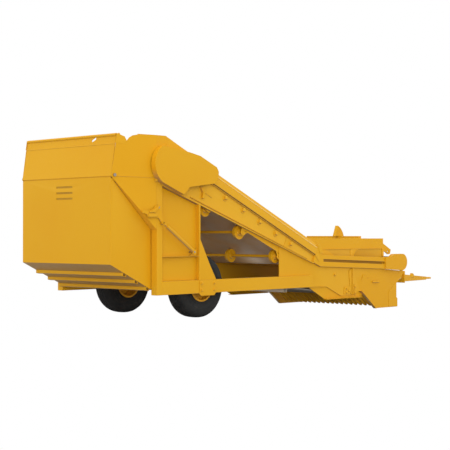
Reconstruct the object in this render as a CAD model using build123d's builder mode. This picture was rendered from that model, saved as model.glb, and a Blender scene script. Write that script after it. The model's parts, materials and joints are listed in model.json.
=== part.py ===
"""Towed comb picker: a full-width ground comb feeds a slatted apron elevator, which fills a
rear-dumping hopper. +X is the direction of travel, +Y is left, +Z is up, and the origin is on
the ground under the middle of the machine. All sizes are millimetres.

Outlines of the side pieces are drawn in (station, height): station is the distance forward of
the hopper's rear wall and height is above the ground. Right-hand pieces are modelled and
mirrored to the left."""

import os
from math import atan2, cos, degrees, hypot, radians, sin, tan

from build123d import *

# ---- overall ----
overall_length = 8370
frame_half = 986           # outer face of the side frames
cover_depth = 79           # the drive covers stand this far outside the frames
fit_gap = 0.3              # running clearance of pins and rollers
sheet = 8                  # body sheet
plate = 12                 # load-carrying plate
rear_x = -overall_length / 2

# ---- gate and hopper ----
gate_half = 875
crease_height = 1866       # where the gate ends and the fixed upper wall begins
gate_top = crease_height - 14
gate_bottom_rear = 782
gate_bottom_front = (690, 450)
gate_front_top = (671, 1214)
gate_pivot = (38, 1880)
hinge_pin_diameter = 20
hinge_ear_radius = 20
upper_lean = 9.8           # the upper rear wall leans forward by this angle
hopper_top = 2400
rear_wall_top = 2362
flare_gap = 4              # between a gate cheek and the fixed side at the rear corner
top_rail_diameter = 38
slot_length = 322
slot_height = 25
slot_heights = (1603, 1676, 1749)
slot_centre = 12           # left of the centre line
drain_slot_place = 470     # right of the centre line
drain_slot_height = 2332
drain_slot_length = 86
drain_slot_width = 30
drain_slot_tilt = 24
upper_wall_reach = 160     # the upper wall stays within this distance of the gate's wall
rib_depth = 46
rib_width = 60
rib_stations = (210, 405, 600)

# ---- rear post and frame rail ----
post_rear = 675
post_front = 769
post_inner = gate_half + 6
rail_bottom = 383
rail_depth = 172
rail_width = 100
rail_front = 3788
tube_wall = 6
panel_recess = 60
panel_front = 1459
flange_width = 26
ledge_height = 872

# ---- elevator ----
slope = 24.2
elevator_rear = 851
elevator_top = 2388
elevator_length = 3375
upper_rail_depth = 163
upper_rail_width = 81
upper_rail_bevel = 34
web_outer = 950
web_depth_rear = 545       # depth of the side, square to the slope, near the head
web_depth_front = 289
web_depth_rear_at = 650
bottom_flange = 10

# ---- apron conveyor ----
apron_half = 880
carrying_depth = 155       # outer face of the carrying run below the elevator's top edge
return_depth = 395
nose_centre = (6046, 708)
nose_slope = 2.1
nose_loop_radius = 85
strand_thickness = 20
strand_width = 40
strand_places = (-845, 0, 845)
belt_thickness = 10
drum_gap = 0.4
head_along = 131
shaft_diameter = 60
idler_radius = 97
idler_width = 46
idler_along = (1115, 1853, 2680)
idler_shaft_diameter = 45

# ---- drive covers ----
cover_lobe = (836, 2035)
cover_lobe_radius = 262

# ---- wheels ----
wheel_station = 1625
wheel_height = 470         # the comb plates work this much less the tyre radius below the wheels
tyre_radius = 423
tyre_width = 285
wheel_outer = 862
rim_radius = 188
hub_radius = 78
spindle_diameter = 70
stud_circle = 205
stud_count = 6

# ---- front section ----
front_rail_rear = 3977
front_rail_front = 5596
front_rail_depth = 172
nose_cover_radius = 131
nose_cover_outer = 1010
beam_top = 1085
beam_bottom = 932
beam_width = 50
cross_beam_top = 1122
pylon_tip = 1290
pylon_place = 100          # right of the centre line
comb_rear = (4935, 345)
comb_tip = (5425, 4)
tine_count = 19
tine_pitch = 92.7
tine_width = 70
tine_depth = 32
tine_point = 60
belly_rear = 3250
belly_height = 384
belly_bend = 3400
belly_front = (4880, 228)

# ---- drawbar ----
hitch_height = 365
hitch_bore = 40
hitch_thickness = 30

# ---- gate latch ----
crank_pivot = (690, 1490)
crank_eye = (755, 1296)
crank_finger = (412, 1420)
crank_inner = frame_half + 6
crank_thickness = 12
latch_pin_diameter = 24
barrel_pivot = (1310, 924)
barrel_radius = 24
rod_radius = 12
eye_pin_diameter = 14
eye_clearance = 8
crank_gap = 5             # between the crank and the rod eye beside it

os.makedirs("parts", exist_ok=True)


def side_plane(inner):
    """The right-hand plane at this distance from the centre line, looking outwards."""
    return Plane(origin=(rear_x, -inner, 0), x_dir=(1, 0, 0), z_dir=(0, -1, 0))


def side_solid(outline, inner, thickness, holes=()):
    """A right-hand plate: its outline, its inner face and its thickness outwards."""
    with BuildPart() as solid:
        with BuildSketch(side_plane(inner)):
            with BuildLine():
                Polyline(*outline, close=True)
            make_face()
            for centre, diameter in holes:
                with Locations(centre):
                    Circle(diameter / 2, mode=Mode.SUBTRACT)
        extrude(amount=thickness)
    return solid.part


def cross_solid(outline, half_width):
    """A piece of one side outline that runs right across the machine."""
    with BuildPart() as solid:
        with BuildSketch(side_plane(0)):
            with BuildLine():
                Polyline(*outline, close=True)
            make_face()
        extrude(amount=half_width, both=True)
    return solid.part


def pin_solid(centre, diameter, inner, outer):
    """A round pin that lies across the machine on the right-hand side."""
    with BuildPart() as solid:
        with BuildSketch(side_plane(inner)):
            with Locations(centre):
                Circle(diameter / 2)
        extrude(amount=outer - inner)
    return solid.part


def join(*pieces):
    with BuildPart() as joined:
        for piece in pieces:
            add(piece)
    return joined.part


def cut(piece, *tools):
    with BuildPart() as remaining:
        add(piece)
        for tool in tools:
            add(tool, mode=Mode.SUBTRACT)
    return remaining.part


def save(name, piece):
    piece.label = name
    export_step(piece, f"parts/{name}.step")


def save_pair(name, right_piece):
    save(f"{name}_right", right_piece)
    save(f"{name}_left", mirror(right_piece, about=Plane.XZ))


# The elevator is drawn along its slope: "along" runs down the slope from the top rear corner
# and "depth" is square to it, below the top edge.
down = radians(slope)


def on_slope(along, depth):
    station = elevator_rear + along * cos(down) - depth * sin(down)
    height = elevator_top - along * sin(down) - depth * cos(down)
    return (station, height)


def web_depth(along):
    rate = (web_depth_rear - web_depth_front) / (elevator_length - web_depth_rear_at)
    return web_depth_rear - rate * (along - web_depth_rear_at)


def web_bottom_height(station, below=0):
    """Height of the elevator's bottom edge, or of a line below it, at a station."""
    first = on_slope(web_depth_rear_at, web_depth(web_depth_rear_at) + below)
    last = on_slope(elevator_length, web_depth(elevator_length) + below)
    share = (station - first[0]) / (last[0] - first[0])
    return first[1] + share * (last[1] - first[1])


# ---- hopper gate: rear wall, two cheeks and a sloping floor, all one welded shell ----
rear_wall = cross_solid([(0, gate_bottom_rear), (sheet, gate_bottom_rear - sheet / 2),
                         (sheet, gate_top), (0, gate_top)], gate_half)
floor_slope = (gate_bottom_rear - gate_bottom_front[1]) / gate_bottom_front[0]
gate_floor = cross_solid([(0, gate_bottom_rear), gate_bottom_front,
                          (gate_bottom_front[0], gate_bottom_front[1] + sheet * 1.1),
                          (0, gate_bottom_rear + sheet * 1.1)], gate_half)
# Each cheek is cut back under its ear, so that it clears the upper wall as the gate swings.
cheek_top = gate_pivot[1] - 42
cheek_outline = [
    (0, gate_bottom_rear),
    gate_bottom_front,
    gate_front_top,
    (gate_pivot[0] + hinge_ear_radius, crease_height - 62),
    (gate_pivot[0] + hinge_ear_radius, gate_pivot[1]),
    gate_pivot,
    (gate_pivot[0], cheek_top),
    (0, cheek_top),
]
with BuildPart() as gate_cheek:
    with BuildSketch(side_plane(gate_half - sheet)):
        with BuildLine():
            Polyline(*cheek_outline, close=True)
        make_face()
        with Locations(gate_pivot):
            Circle(hinge_ear_radius)
            Circle(hinge_pin_diameter / 2 + fit_gap, mode=Mode.SUBTRACT)
    extrude(amount=sheet)

with BuildPart() as gate_shell:
    add(rear_wall)
    add(gate_floor)
    add(gate_cheek.part)
    add(mirror(gate_cheek.part, about=Plane.XZ))
    with BuildSketch(Plane(origin=(rear_x, 0, 0), x_dir=(0, 1, 0), z_dir=(1, 0, 0))):
        with Locations(*[(slot_centre, height) for height in slot_heights]):
            Rectangle(slot_length, slot_height)
    extrude(amount=sheet, mode=Mode.SUBTRACT)
save("gate_shell", gate_shell.part)


def floor_height(station):
    return gate_bottom_rear - floor_slope * station


# Three pressed ribs under the gate floor, each open at its ends.
with BuildPart() as gate_ribs:
    for station in rib_stations:
        rear_top = floor_height(station)
        front_top = floor_height(station + rib_width)
        with BuildSketch(side_plane(0)):
            with BuildLine():
                Polyline((station, rear_top), (station + rib_width, front_top),
                         (station + rib_width, front_top - 5),
                         (station + rib_width - 8, front_top - rib_depth + 20),
                         (station, rear_top - rib_depth), close=True)
            make_face()
        extrude(amount=gate_half - sheet, both=True)
        with BuildSketch(side_plane(0)):
            with BuildLine():
                Polyline((station + 5, rear_top - 9), (station + rib_width - 8, front_top - 9),
                         (station + rib_width - 14, front_top - rib_depth + 26),
                         (station + 5, rear_top - rib_depth + 8), close=True)
            make_face()
        extrude(amount=gate_half, both=True, mode=Mode.SUBTRACT)
save("gate_floor_ribs", gate_ribs.part)

# ---- fixed upper hopper: flared sides, rear wall, top rail and front bulkhead ----
flare_inner = gate_half + flare_gap
flare_run = post_rear - 3
flare_angle = degrees(atan2(frame_half - sheet - flare_inner, flare_run))
lean = tan(radians(upper_lean))


def rear_wall_station(height):
    return (height - crease_height) * lean


flare_plane = Plane(
    origin=(rear_x, -flare_inner, 0),
    x_dir=(cos(radians(flare_angle)), -sin(radians(flare_angle)), 0),
    z_dir=(-sin(radians(flare_angle)), -cos(radians(flare_angle)), 0),
)
stretch = 1 / cos(radians(flare_angle))
flare_start = sheet * sin(radians(flare_angle))
diagonal = (crease_height - gate_front_top[1]) / gate_front_top[0]
flare_bottom_front = crease_height - diagonal * flare_run
fold = flare_run - sheet / 2
with BuildPart() as hopper_side:
    with BuildSketch(flare_plane):
        with BuildLine():
            edge = Polyline(
                (flare_start, crease_height),
                (rear_wall_station(2386) * stretch, 2386),
                (118 * stretch, hopper_top),
                (176 * stretch, 2318),
            )
            shoulder = ThreePointArc(edge @ 1, (226 * stretch, 2376), (320 * stretch, hopper_top))
            Polyline(shoulder @ 1, (flare_run * stretch, hopper_top),
                     (flare_run * stretch, flare_bottom_front), (flare_start, crease_height))
        make_face()
    extrude(amount=sheet)
    with BuildSketch(side_plane(frame_half - sheet)):
        with BuildLine():
            Polyline((fold, web_bottom_height(fold)), (fold, hopper_top),
                     (elevator_rear - 20, hopper_top), on_slope(0, 0), on_slope(120, 0),
                     on_slope(240, web_depth(240)), close=True)
        make_face()
    extrude(amount=sheet)
hopper_side_solid = hopper_side.part
hinge_hole = pin_solid(gate_pivot, hinge_pin_diameter, gate_half - sheet, gate_half + 60)
# A folded closing strip runs down each diagonal, from the flared side to the gate cheek.
diagonal_run = flare_run / cos(atan2(diagonal, 1))
with BuildPart() as closing_strip:
    with BuildSketch(Plane(
            origin=(rear_x, -flare_inner, crease_height),
            x_dir=(1, 0, -diagonal), z_dir=(diagonal, 0, 1))):
        with BuildLine():
            Polyline((0, 0), (diagonal_run, 0),
                     (diagonal_run, -(frame_half - sheet - flare_inner) - sheet / 2),
                     (0, -sheet / 2), close=True)
        make_face()
    extrude(amount=4)
head_station, head_height = on_slope(head_along, (carrying_depth + return_depth) / 2)
head_hole = pin_solid((head_station, head_height), shaft_diameter + 4,
                      web_outer - sheet, frame_half)
save_pair("hopper_side", join(cut(hopper_side_solid, hinge_hole, head_hole), closing_strip.part))

with BuildPart() as hopper_rear_wall:
    with BuildSketch(side_plane(0)):
        with BuildLine():
            Polyline(
                (0, crease_height),
                (rear_wall_station(rear_wall_top), rear_wall_top),
                (rear_wall_station(rear_wall_top) + sheet, rear_wall_top),
                (sheet, crease_height), close=True)
        make_face()
    extrude(amount=gate_half + flare_gap, both=True)
    with BuildSketch(side_plane(0)):
        with Locations((sheet + 3.5, crease_height)):
            Rectangle(6, 60)
    extrude(amount=gate_half - sheet - 2, both=True)
    with BuildSketch(Plane(origin=(rear_x - sheet, 0, 0), x_dir=(0, -1, 0), z_dir=(1, 0, 0))):
        with Locations(Location((drain_slot_place, drain_slot_height), drain_slot_tilt)):
            SlotOverall(drain_slot_length, drain_slot_width)
    extrude(amount=upper_wall_reach, mode=Mode.SUBTRACT)

rail_centre = (rear_wall_station(rear_wall_top) + sheet / 2,
               rear_wall_top + top_rail_diameter / 2 - 4)
with BuildPart() as hopper_top_rail:
    with BuildSketch(side_plane(0)):
        with Locations(rail_centre):
            Circle(top_rail_diameter / 2)
    extrude(amount=gate_half + flare_gap, both=True)
save("hopper_rear_wall", join(hopper_rear_wall.part, hopper_top_rail.part))

pin_reach = gate_half + 44
gate_pins = join(pin_solid(gate_pivot, hinge_pin_diameter, gate_half - sheet - 4, pin_reach),
                 pin_solid(gate_pivot, 2 * hinge_pin_diameter, pin_reach - sheet, pin_reach))

rail_top = rail_bottom + rail_depth
panel_outer = frame_half - panel_recess
panel_inner = panel_outer - sheet
bulkhead_rear = post_front + 6
bulkhead_top = 1700
bulkhead_foot = rail_bottom + 60
bulkhead_front = bulkhead_rear + sheet
bulkhead_lower = cross_solid(
    [(bulkhead_rear, bulkhead_foot), (bulkhead_front, bulkhead_foot),
     (bulkhead_front, rail_top), (bulkhead_rear, rail_top)], frame_half - rail_width)
bulkhead_upper = cross_solid(
    [(bulkhead_rear, rail_top), (bulkhead_front, rail_top),
     (bulkhead_front, bulkhead_top), (bulkhead_rear, bulkhead_top)], panel_inner)
save("hopper_bulkhead", join(bulkhead_lower, bulkhead_upper))

# ---- rear post, frame rail and recessed side panel ----
post_outline = [
    (post_rear, rail_bottom),
    (post_front, rail_bottom),
    (post_front, web_bottom_height(post_front, bottom_flange)),
    (post_rear, web_bottom_height(post_rear, bottom_flange)),
]
with BuildPart() as rear_post:
    with BuildSketch(side_plane(post_inner)):
        with BuildLine():
            Polyline(*post_outline, close=True)
        make_face()
    extrude(amount=frame_half - post_inner)
    with BuildSketch(side_plane(post_inner + tube_wall)):
        with BuildLine():
            Polyline(*post_outline, close=True)
        make_face()
        offset(amount=-tube_wall, mode=Mode.REPLACE)
    extrude(amount=frame_half - post_inner - 2 * tube_wall, mode=Mode.SUBTRACT)
save_pair("rear_post", rear_post.part)

with BuildPart() as frame_rail:
    with BuildSketch(Plane(origin=(rear_x + post_front, -frame_half + rail_width / 2, 0),
                           x_dir=(0, 1, 0), z_dir=(1, 0, 0))):
        with Locations((0, rail_bottom + rail_depth / 2)):
            Rectangle(rail_width, rail_depth)
            Rectangle(rail_width - 2 * tube_wall, rail_depth - 2 * tube_wall, mode=Mode.SUBTRACT)
    extrude(amount=rail_front - post_front)
save_pair("frame_rail", frame_rail.part)

panel_top_rear = web_bottom_height(post_front, bottom_flange)
panel_top_front = web_bottom_height(panel_front, bottom_flange)
panel_sheet = side_solid(
    [(post_front, rail_top), (panel_front, rail_top), (panel_front, panel_top_front),
     (post_front, panel_top_rear)], panel_inner, sheet)
panel_ledge = side_solid(
    [(post_front, ledge_height - sheet), (panel_front, ledge_height - sheet),
     (panel_front, ledge_height), (post_front, ledge_height)], panel_outer, panel_recess - 4)
panel_flange = side_solid(
    [(panel_front - flange_width, rail_top), (panel_front, rail_top),
     (panel_front, panel_top_front),
     (panel_front - flange_width, web_bottom_height(panel_front - flange_width, bottom_flange))],
    panel_outer, panel_recess)
front_gusset = side_solid(
    [(panel_front, rail_top), (1758, rail_top), (1625, 775), (panel_front + 8, 1073),
     (panel_front, 1073)], frame_half - sheet, sheet)
save_pair("side_panel", join(panel_sheet, panel_ledge, panel_flange, front_gusset))

# ---- elevator sides ----
slope_plane = Plane(
    origin=(rear_x + elevator_rear, 0, elevator_top),
    x_dir=(0, 1, 0), z_dir=(cos(down), 0, -sin(down)))
rail_section = [
    (-frame_half + upper_rail_width, 0),
    (-frame_half + upper_rail_bevel, 0),
    (-frame_half, -56),
    (-frame_half, -upper_rail_depth),
    (-frame_half + upper_rail_width, -upper_rail_depth),
]
upper_rail_start = 170
with BuildPart() as upper_rail:
    with BuildSketch(slope_plane.offset(upper_rail_start)) as rail_face:
        with BuildLine():
            Polyline(*rail_section, close=True)
        make_face()
    extrude(amount=elevator_length - upper_rail_start)
    with BuildSketch(slope_plane.offset(upper_rail_start)):
        offset(rail_face.sketch_local, amount=-tube_wall, kind=Kind.INTERSECTION)
    extrude(amount=elevator_length - upper_rail_start, mode=Mode.SUBTRACT)
save_pair("elevator_upper_rail", upper_rail.part)

web_start = 20
with BuildPart() as elevator_web:
    with BuildSketch(side_plane(web_outer - sheet)):
        with BuildLine():
            Polyline(on_slope(web_start, upper_rail_depth),
                     on_slope(elevator_length, upper_rail_depth),
                     on_slope(elevator_length, web_depth(elevator_length)),
                     on_slope(web_start, web_depth(web_start)), close=True)
        make_face()
    extrude(amount=sheet)
    with BuildSketch(side_plane(web_outer - sheet)):
        with BuildLine():
            Polyline((post_rear, web_bottom_height(post_rear)),
                     on_slope(elevator_length, web_depth(elevator_length)),
                     on_slope(elevator_length, web_depth(elevator_length) + bottom_flange),
                     (post_rear, web_bottom_height(post_rear, bottom_flange)), close=True)
        make_face()
    extrude(amount=frame_half - web_outer + sheet)
save_pair("elevator_web", cut(elevator_web.part, head_hole))

# ---- apron: a smooth belt on three drive strands, in near-flat runs and two end wraps ----
loop_radius = (return_depth - carrying_depth) / 2
nose_rise = tan(radians(nose_slope))


def meeting_point(depth, nose_height):
    """Where a run on the slope meets the matching run of the front section."""
    start = on_slope(0, depth)
    rise = tan(down)
    station = (start[1] + rise * start[0] - nose_height - nose_rise * nose_centre[0]) / (
        rise - nose_rise)
    return (station, nose_height + nose_rise * (nose_centre[0] - station))


bend_top = meeting_point(carrying_depth, nose_centre[1] + nose_loop_radius)
bend_bottom = meeting_point(return_depth, nose_centre[1] - nose_loop_radius)


def apron_run(start, end, side):
    """Belt and strands from start to end; side is +1 where the load face is uppermost."""
    run = hypot(end[0] - start[0], end[1] - start[1])
    direction = ((end[0] - start[0]) / run, 0, (end[1] - start[1]) / run)
    face = Plane(origin=(rear_x + start[0], 0, start[1]), x_dir=direction, z_dir=(0, -1, 0))
    with BuildPart() as apron:
        with BuildSketch(face):
            with Locations((run / 2, -side * belt_thickness / 2)):
                Rectangle(run, belt_thickness)
        extrude(amount=apron_half, both=True)
        for place in strand_places:
            with BuildSketch(face.offset(place - strand_width / 2)):
                with Locations((run / 2, -side * (belt_thickness + strand_thickness / 2))):
                    Rectangle(run, strand_thickness)
            extrude(amount=strand_width)
    return apron.part


head_top = on_slope(head_along, carrying_depth)
head_bottom = on_slope(head_along, return_depth)
nose_top = (nose_centre[0], nose_centre[1] + nose_loop_radius)
nose_bottom = (nose_centre[0], nose_centre[1] - nose_loop_radius)
bend_relief = 22
save("apron_incline_carrying", apron_run(head_top, on_slope(
    (bend_top[0] - on_slope(0, carrying_depth)[0]) / cos(down) - bend_relief,
    carrying_depth), 1))
save("apron_front_carrying", apron_run(
    (bend_top[0] + bend_relief, bend_top[1] - bend_relief * nose_rise), nose_top, 1))
save("apron_incline_return", apron_run(head_bottom, on_slope(
    (bend_bottom[0] - on_slope(0, return_depth)[0]) / cos(down) - bend_relief,
    return_depth), -1))
save("apron_front_return", apron_run(
    (bend_bottom[0] + bend_relief, bend_bottom[1] - bend_relief * nose_rise), nose_bottom, -1))


def end_wrap(centre, radius, start, turn):
    """The half turn of belt and strands round an end drum."""
    with BuildPart() as wrap:
        with BuildSketch(side_plane(0)):
            with BuildLine():
                outer = CenterArc(centre, radius, start, turn)
                inner = CenterArc(centre, radius - belt_thickness - strand_thickness, start, turn)
                Line(outer @ 0, inner @ 0)
                Line(outer @ 1, inner @ 1)
            make_face()
        extrude(amount=apron_half, both=True)
    return wrap.part


wrap_relief = 4
head_wrap = end_wrap((head_station, head_height), loop_radius,
                     90 - slope + wrap_relief, 180 - 2 * wrap_relief)
nose_wrap = end_wrap(nose_centre, nose_loop_radius,
                     270 - nose_slope + wrap_relief, 180 - 2 * wrap_relief)
save("apron_end_wraps", join(head_wrap, nose_wrap))

# ---- drums and idlers ----
belt_build = belt_thickness + strand_thickness + drum_gap


def cross_shaft(centre, diameter, half_length):
    with BuildPart() as shaft:
        with BuildSketch(side_plane(0)):
            with Locations(centre):
                Circle(diameter / 2)
        extrude(amount=half_length, both=True)
    return shaft.part


def drum(centre, radius, half_length, shaft_half):
    with BuildPart() as body:
        with BuildSketch(side_plane(0)):
            with Locations(centre):
                Circle(radius)
                Circle(radius - tube_wall, mode=Mode.SUBTRACT)
        extrude(amount=half_length, both=True)
        for place in (-half_length, 0, half_length - tube_wall):
            with BuildSketch(side_plane(place)):
                with Locations(centre):
                    Circle(radius - tube_wall / 2)
            extrude(amount=tube_wall)
        add(cross_shaft(centre, shaft_diameter, shaft_half))
    return body.part


head_centre = (head_station, head_height)
drum_half = apron_half - 12
save("head_drum", drum(head_centre, loop_radius - belt_build, drum_half, frame_half - 2))
save("nose_drum", drum(nose_centre, nose_loop_radius - belt_build, drum_half, frame_half - 2))

idler_depth = return_depth + drum_gap + idler_radius
idler_half_length = web_outer - sheet - fit_gap
for number, along in enumerate(idler_along, 1):
    centre = on_slope(along, idler_depth)
    with BuildPart() as idler:
        add(cross_shaft(centre, idler_shaft_diameter, idler_half_length))
        for place in strand_places:
            with BuildSketch(side_plane(place - idler_width / 2)):
                with Locations(centre):
                    Circle(idler_radius)
            extrude(amount=idler_width)
    save(f"return_idler_{number}", idler.part)

hanger_thickness = 10
hanger_radius = 46


def hanger_part(first, last):
    """The hanger plate inside the web from one idler to another."""
    centres = [on_slope(first, idler_depth)]
    outline = [
        on_slope(first - hanger_radius, idler_depth),
        on_slope(first - hanger_radius, web_depth(first) - 60),
        on_slope(last + hanger_radius, web_depth(last) - 60),
        on_slope(last + hanger_radius, idler_depth),
    ]
    if last > first:
        centres.append(on_slope(last, idler_depth))
        outline += [on_slope(last - hanger_radius, idler_depth),
                    on_slope(last - 2 * hanger_radius, idler_depth - 40),
                    on_slope(first + 2 * hanger_radius, idler_depth - 30),
                    on_slope(first + hanger_radius, idler_depth)]
    with BuildPart() as hanger:
        with BuildSketch(side_plane(web_outer - sheet - hanger_thickness)):
            with BuildLine():
                Polyline(*outline, close=True)
            make_face()
            with Locations(*centres):
                Circle(hanger_radius)
            with Locations(*centres):
                Circle(idler_shaft_diameter / 2 + fit_gap, mode=Mode.SUBTRACT)
        extrude(amount=hanger_thickness)
    return hanger.part


save_pair("idler_hangers", join(hanger_part(idler_along[0], idler_along[0]),
                                hanger_part(idler_along[1], idler_along[2])))

# ---- bearings in the sides for the two drums ----
bearing_diameter = 150


def bearing(centre, inner, outer):
    with BuildPart() as housing:
        with BuildSketch(side_plane(inner)):
            with Locations(centre):
                Circle(bearing_diameter / 2)
                Circle(shaft_diameter / 2 + fit_gap, mode=Mode.SUBTRACT)
        extrude(amount=outer - inner)
    return housing.part


right_bearings = join(bearing(head_centre, web_outer, frame_half - sheet),
                      bearing(nose_centre, web_outer, web_outer + 26))
save("drum_bearings", join(right_bearings, mirror(right_bearings, about=Plane.XZ)))

# ---- drive covers: dog-bone shaped boxes over the head ----
cover_wall = 5
with BuildPart() as drive_cover:
    with BuildSketch(side_plane(frame_half)) as cover_outline:
        with BuildLine():
            lobe = CenterArc(cover_lobe, cover_lobe_radius, 118, 124)
            Polyline(lobe @ 1, (1076, 1662), (1136, 1708), (1185, 1761), (1660, 1821),
                     (1715, 1900), (1727, 1977), (1685, 2035), (1378, 2168), (1176, 2207),
                     lobe @ 0)
        make_face()
        fillet(cover_outline.vertices().group_by(Axis.X)[-1], radius=60)
    extrude(amount=cover_depth)
    with BuildSketch(side_plane(frame_half)):
        offset(cover_outline.sketch_local, amount=-cover_wall, kind=Kind.INTERSECTION)
    extrude(amount=cover_depth - cover_wall, mode=Mode.SUBTRACT)
save_pair("drive_cover", drive_cover.part)

motor_radius = 95
motor_length = 58
with BuildPart() as drive_motor:
    with BuildSketch(side_plane(frame_half)):
        with Locations(head_centre):
            Circle(motor_radius)
    extrude(amount=motor_length)
    with BuildSketch(side_plane(frame_half)):
        with Locations((head_centre[0] + 105, head_centre[1])):
            Rectangle(70, 60)
    extrude(amount=motor_length - 10)
save("drive_motor", drive_motor.part)

# ---- front section ----
joint_top = on_slope(elevator_length, 0)
joint_bottom = on_slope(elevator_length, web_depth(elevator_length))
front_top_rear = (4012, 845)
front_top = (front_rail_front, 790)
front_bottom = (front_rail_front, front_top[1] - front_rail_depth - 11)
front_bottom_rear = (front_rail_rear, 678)
front_web_outline = [
    joint_bottom, joint_top, front_top_rear, front_top,
    (nose_centre[0], nose_centre[1] + 70), (nose_centre[0] + 75, nose_centre[1]),
    (nose_centre[0], nose_centre[1] - 75), front_bottom, front_bottom_rear,
]
front_layer_outline = [
    joint_bottom, joint_top, front_top_rear, front_top, (front_top[0], 720), (4047, 785),
    (4047, 748), (front_top[0], 682), front_bottom, front_bottom_rear,
]
with BuildPart() as front_rails:
    add(side_solid(front_web_outline, web_outer - sheet, sheet,
                   [(nose_centre, shaft_diameter + 4)]))
    add(side_solid(front_layer_outline, web_outer, frame_half - web_outer))
save_pair("front_rails", front_rails.part)

nose_wall = 6
with BuildPart() as nose_cover:
    with BuildSketch(side_plane(web_outer)) as nose_outline:
        with BuildLine():
            Polyline((front_rail_front, front_bottom[1]),
                     (nose_centre[0], nose_centre[1] - nose_cover_radius),
                     (nose_centre[0], nose_centre[1] + nose_cover_radius),
                     (5814, nose_centre[1] + nose_cover_radius), (5732, 797),
                     (front_rail_front, 797), close=True)
        make_face()
        with Locations(nose_centre):
            Circle(nose_cover_radius)
    extrude(amount=nose_cover_outer - web_outer)
    with BuildSketch(side_plane(web_outer)):
        offset(nose_outline.sketch_local, amount=-nose_wall, kind=Kind.INTERSECTION)
    extrude(amount=nose_cover_outer - web_outer - nose_wall, mode=Mode.SUBTRACT)
save_pair("nose_cover", nose_cover.part)

# ---- side beams over the front section, with recessed panels ----
beam_inner = 855
beam_face = beam_inner + beam_width
beam_box = side_solid([(3783, beam_bottom), (5662, beam_bottom), (5662, beam_top),
                       (3783, beam_top)], beam_inner, beam_width)
beam_hollow = side_solid([(3790, beam_bottom + 8), (5655, beam_bottom + 8),
                          (5655, beam_top - 8), (3790, beam_top - 8)],
                         beam_inner + 8, beam_width - 16)
window_top = beam_bottom - 4
with BuildPart() as beam_skirt:
    with BuildSketch(side_plane(beam_face - sheet)):
        with BuildLine():
            Polyline((3960, 800), (5662, 780), (5662, beam_bottom), (3960, beam_bottom),
                     close=True)
        make_face()
        with BuildLine():
            Polyline((4182, 862), (4794, 850), (4794, window_top), (4182, window_top),
                     close=True)
        make_face(mode=Mode.SUBTRACT)
        with BuildLine():
            corner = CenterArc((5100, 838), window_top - 838, 90, 90)
            Polyline(corner @ 1, (5614, 838), (5614, window_top), corner @ 0)
        make_face(mode=Mode.SUBTRACT)
    extrude(amount=sheet)
    with BuildSketch(side_plane(beam_face - 2 * sheet)):
        with BuildLine():
            Polyline((3960, 800), (5662, 780), (5662, beam_bottom), (3960, beam_bottom),
                     close=True)
        make_face()
    extrude(amount=sheet)
lug = side_solid([(5662, 1007), (5872, 905), (5850, 839), (5790, 835), (5700, 880),
                  (5662, 870)], beam_face - 2 * sheet, 2 * sheet, [((5790, 878), 34)])
save_pair("front_side_beam", join(cut(beam_box, beam_hollow), beam_skirt.part, lug))

with BuildPart() as front_cross_beam:
    add(cross_solid([(5510, 985), (5600, 985), (5600, beam_top), (5510, beam_top)], beam_inner))
    add(cross_solid([(5520, 995), (5590, 995), (5590, beam_top - 10), (5520, beam_top - 10)],
                    beam_inner), mode=Mode.SUBTRACT)
    add(cross_solid([(5524, beam_top), (5586, beam_top), (5586, cross_beam_top),
                     (5524, cross_beam_top)], 535))
save("front_cross_beam", front_cross_beam.part)

with BuildPart() as marker_pylon:
    with BuildSketch(side_plane(pylon_place)):
        with BuildLine():
            back = Line((5445, cross_beam_top), (5515, pylon_tip))
            front = ThreePointArc(back @ 1, (5610, 1220), (5665, cross_beam_top))
            Line(front @ 1, back @ 0)
        make_face()
    extrude(amount=30, both=True)
save("marker_pylon", marker_pylon.part)

# ---- front side plates, skids, comb and belly pan ----
side_plate_outline = [
    (3082, rail_top), (3082, web_bottom_height(3082, bottom_flange)),
    on_slope(elevator_length, web_depth(elevator_length) + bottom_flange), joint_bottom,
    front_bottom_rear, front_bottom,
    (nose_centre[0], nose_centre[1] - nose_cover_radius - 6), (6137, 586), (6152, 522),
    (5956, 367), (5956, 144), (5984, 130), (5984, 0), (5350, 0), (4982, 283), (4766, 228),
    (4505, 228), (4141, 386), (rail_front, 386), (rail_front, rail_top),
]
side_sheet = side_solid(side_plate_outline, web_outer - sheet, sheet)
edge_flange = side_solid([(4982, 283), (5350, 0), (5364, 0), (4990, 287)], web_outer, 42)
fold_rib = side_solid([(4774, 240), (4800, 240), (4800, 640), (4774, 643)], web_outer, 20)
skid_inner = web_outer - 2 * sheet - 4
skid_outline = [(3742, rail_bottom), (4117, 197), (5000, 197), (5085, 230), (4505, 430),
                (rail_front + 6, 430), (rail_front + 6, rail_bottom)]
skid_plate = side_solid(skid_outline, skid_inner, plate)
skid_shoe = side_solid([(4117, 189), (5000, 189), (5000, 197), (4117, 197)], skid_inner - 30, 90)
save_pair("front_side_plate", join(side_sheet, edge_flange, fold_rib, skid_plate, skid_shoe))

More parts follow.
